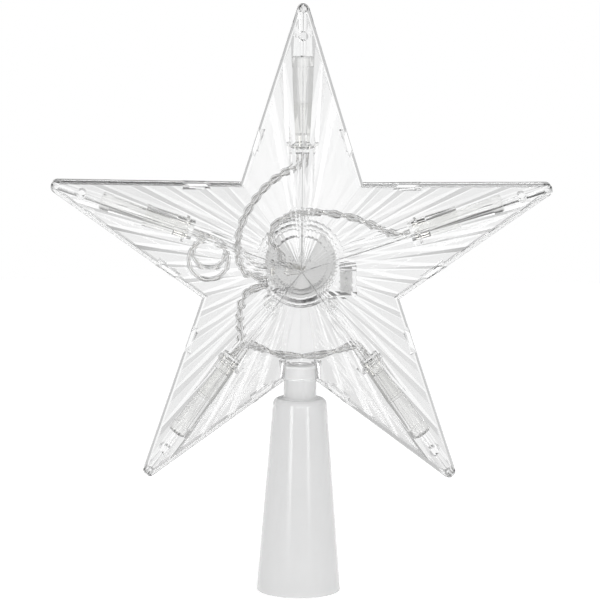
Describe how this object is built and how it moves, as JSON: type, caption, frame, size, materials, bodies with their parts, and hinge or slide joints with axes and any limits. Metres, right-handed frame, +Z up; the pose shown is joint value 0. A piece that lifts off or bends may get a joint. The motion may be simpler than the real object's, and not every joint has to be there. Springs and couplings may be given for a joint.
{
  "type": "christmas tree topper star",
  "caption": "Clear faceted plastic star with a lamp in each arm and an empty coin-cell case at its back, plugged onto a frosted hollow cone that drops over a tree's leader.",
  "frame": {"origin": "centre of the stem's open mouth, where it drops over the tree's leader", "axes": "+Z up along the stem to the star's top arm, the star's front faces -Y, +X to the right as seen from the front"},
  "size_m": [0.1844, 0.031, 0.2188],
  "materials": {
    "frosted_stem": "frosted translucent polypropylene, semi-gloss",
    "clear_shell": "clear moulded polystyrene, polished",
    "clear_bulb": "clear epoxy lens, polished",
    "clear_holder": "clear moulded plastic, slightly hazy",
    "contact_metal": "stamped brass, dull",
    "clear_wire": "clear soft vinyl insulation over tinned strands",
    "clear_case": "clear moulded plastic, polished",
    "switch_black": "satin moulded",
    "switch_white": "satin moulded",
    "screw_steel": "zinc plated"
  },
  "bodies": {
    "stem": {"stem_cone": "frosted_stem"},
    "star": {"front_shell": "clear_shell", "rear_shell": "clear_shell", "led_bulb_top": "clear_bulb", "led_bulb_right": "clear_bulb", "led_bulb_lower_right": "clear_bulb", "led_bulb_lower_left": "clear_bulb", "led_bulb_left": "clear_bulb", "lamp_holder_top": "clear_holder", "lamp_holder_right": "clear_holder", "lamp_holder_lower_right": "clear_holder", "lamp_holder_lower_left": "clear_holder", "lamp_holder_left": "clear_holder", "lamp_contacts": "contact_metal", "negative_contact": "contact_metal", "positive_contact": "contact_metal", "wire_top": "clear_wire", "wire_right": "clear_wire", "wire_bottom": "clear_wire", "wire_left": "clear_wire", "wire_lower_left": "clear_wire", "battery_case": "clear_case", "wire_gland": "clear_case", "switch_body": "switch_black", "case_screws": "screw_steel"},
    "door": {"battery_door": "clear_case"},
    "knob": {"switch_knob": "switch_white"}
  },
  "joints": [
    {"name": "star_pull", "type": "slide", "parent": "stem", "child": "star", "axis": [0, 0, 1], "range_m": [0, 0.02]},
    {"name": "door_twist", "type": "hinge", "parent": "star", "child": "door", "pos_m": [0, 0.0137, 0.122], "axis": [0, 1, 0], "range_deg": [0, 40]},
    {"name": "switch_slide", "type": "slide", "parent": "star", "child": "knob", "axis": [0, 0, 1], "range_m": [0, 0.003]}
  ]
}
